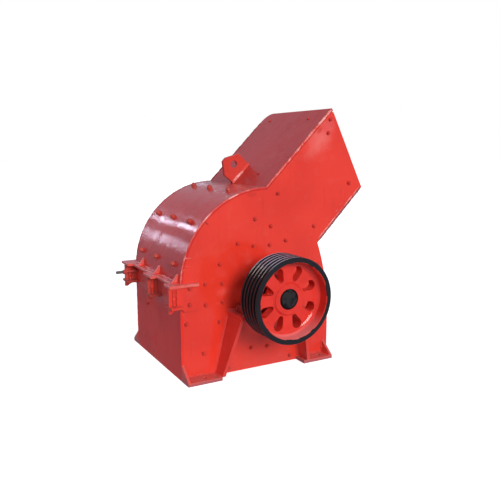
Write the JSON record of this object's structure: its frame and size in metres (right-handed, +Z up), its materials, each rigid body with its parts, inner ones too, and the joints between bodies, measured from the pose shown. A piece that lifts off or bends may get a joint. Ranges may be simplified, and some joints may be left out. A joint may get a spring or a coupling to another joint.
{
  "type": "hammer crusher",
  "caption": "Red hammer crusher: round-backed welded housing with an inclined feed hopper, spoked black V-belt pulley, bearing stands, bolt-down feet and an open hammer rotor inside.",
  "frame": {"origin": "on the floor, at the middle of the four anchor holes, which is straight below the rotor axis at mid-width", "axes": "Z up; Y along the rotor axis, away from the pulley; X towards the feed mouth"},
  "size_m": [1.1062, 1.158, 1.2239],
  "materials": {
    "red_enamel_side": "gloss",
    "red_enamel": "gloss",
    "red_enamel_gloss": "gloss",
    "cast_housing": "gloss",
    "wheel_iron": "gloss",
    "dark_shaft_steel": "satin",
    "rotor_steel": "satin",
    "manganese_steel": "matte",
    "zinc_steel": "satin"
  },
  "bodies": {
    "housing": {"near_side_plate": "red_enamel_side", "far_side_plate": "red_enamel_side", "end_wall": "red_enamel", "curved_cover": "red_enamel_gloss", "hopper_top_plate": "red_enamel", "hopper_floor_plate": "red_enamel", "feed_end_wall": "red_enamel", "near_side_liner": "manganese_steel", "far_side_liner": "manganese_steel", "cover_liners": "manganese_steel", "discharge_grate": "manganese_steel", "near_back_foot": "red_enamel", "near_front_foot": "red_enamel", "far_back_foot": "red_enamel", "far_front_foot": "red_enamel", "near_back_rib": "red_enamel", "near_front_rib": "red_enamel", "far_back_rib": "red_enamel", "far_front_rib": "red_enamel", "near_bearing_shelf": "red_enamel", "far_bearing_shelf": "red_enamel", "near_bearing_housing": "cast_housing", "far_bearing_housing": "cast_housing", "near_shaft_seal": "red_enamel", "far_shaft_seal": "red_enamel", "cover_flange": "red_enamel", "near_clamp": "red_enamel", "mid_clamp": "red_enamel", "far_clamp": "red_enamel", "clamp_studs": "zinc_steel", "adjusting_stud": "zinc_steel", "lifting_lug": "red_enamel"},
    "rotor": {"main_shaft": "dark_shaft_steel", "drive_pulley": "wheel_iron", "flywheel": "wheel_iron", "rotor_discs": "rotor_steel", "rotor_spacers": "rotor_steel", "hammer_pins": "rotor_steel", "hammers": "manganese_steel"}
  },
  "joints": [
    {"name": "rotor_spin", "type": "hinge", "parent": "housing", "child": "rotor", "pos_m": [0, 0, 0.389], "axis": [0, 1, 0], "continuous": true}
  ]
}
